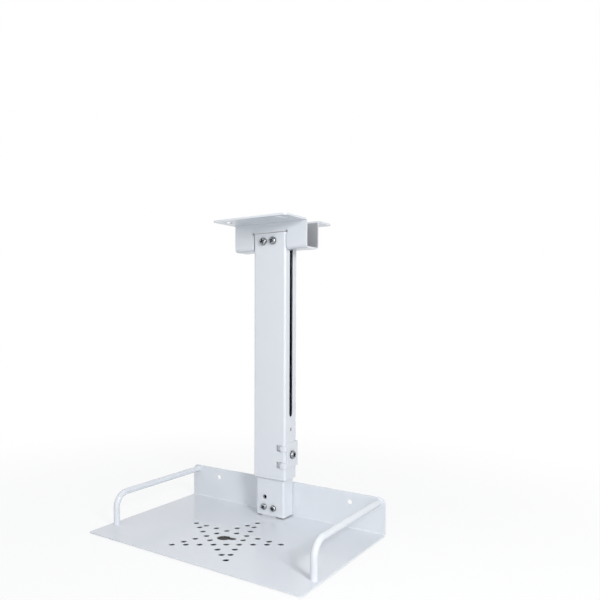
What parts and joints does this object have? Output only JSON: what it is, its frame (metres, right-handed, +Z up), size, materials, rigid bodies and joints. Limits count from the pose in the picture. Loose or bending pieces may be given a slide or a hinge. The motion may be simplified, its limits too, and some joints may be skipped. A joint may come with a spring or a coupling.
{
  "type": "projector ceiling mount with tray",
  "caption": "Height-adjustable ceiling mount: a channel bracket, two telescoping rectangular tubes clamped by a screw, and a folded tray with side rails and a star of holes.",
  "frame": {"origin": "on the bracket's ceiling face, midway between the two front fixing slots", "axes": "+Z up into the ceiling, +X along the tray's width to the clamp's side, +Y back towards the tray's upstand"},
  "size_m": [0.308, 0.2495, 0.399],
  "materials": {
    "white_powder_coat": "fine satin powder coat",
    "zinc_plated_steel": "bright zinc plate"
  },
  "bodies": {
    "ceiling_part": {"ceiling_bracket": "white_powder_coat", "outer_tube": "white_powder_coat", "clamp_clip": "white_powder_coat", "clamp_nut": "zinc_plated_steel", "left_bracket_bolt": "zinc_plated_steel", "right_bracket_bolt": "zinc_plated_steel", "left_bracket_nut": "zinc_plated_steel", "right_bracket_nut": "zinc_plated_steel"},
    "screw_part": {"adjustment_screw": "zinc_plated_steel"},
    "tray_part": {"inner_tube": "white_powder_coat", "tray": "white_powder_coat", "left_rail": "white_powder_coat", "right_rail": "white_powder_coat", "left_tray_screw": "zinc_plated_steel", "right_tray_screw": "zinc_plated_steel", "left_tray_nut": "zinc_plated_steel", "right_tray_nut": "zinc_plated_steel"}
  },
  "joints": [
    {"name": "height_slide", "type": "slide", "parent": "ceiling_part", "child": "tray_part", "axis": [0, 0, -1], "range_m": [0, 0.269]},
    {"name": "clamp_turn", "type": "hinge", "parent": "ceiling_part", "child": "screw_part", "pos_m": [0.0271, 0.05, -0.311], "axis": [1, 0, 0], "range_deg": [0, 360]}
  ]
}
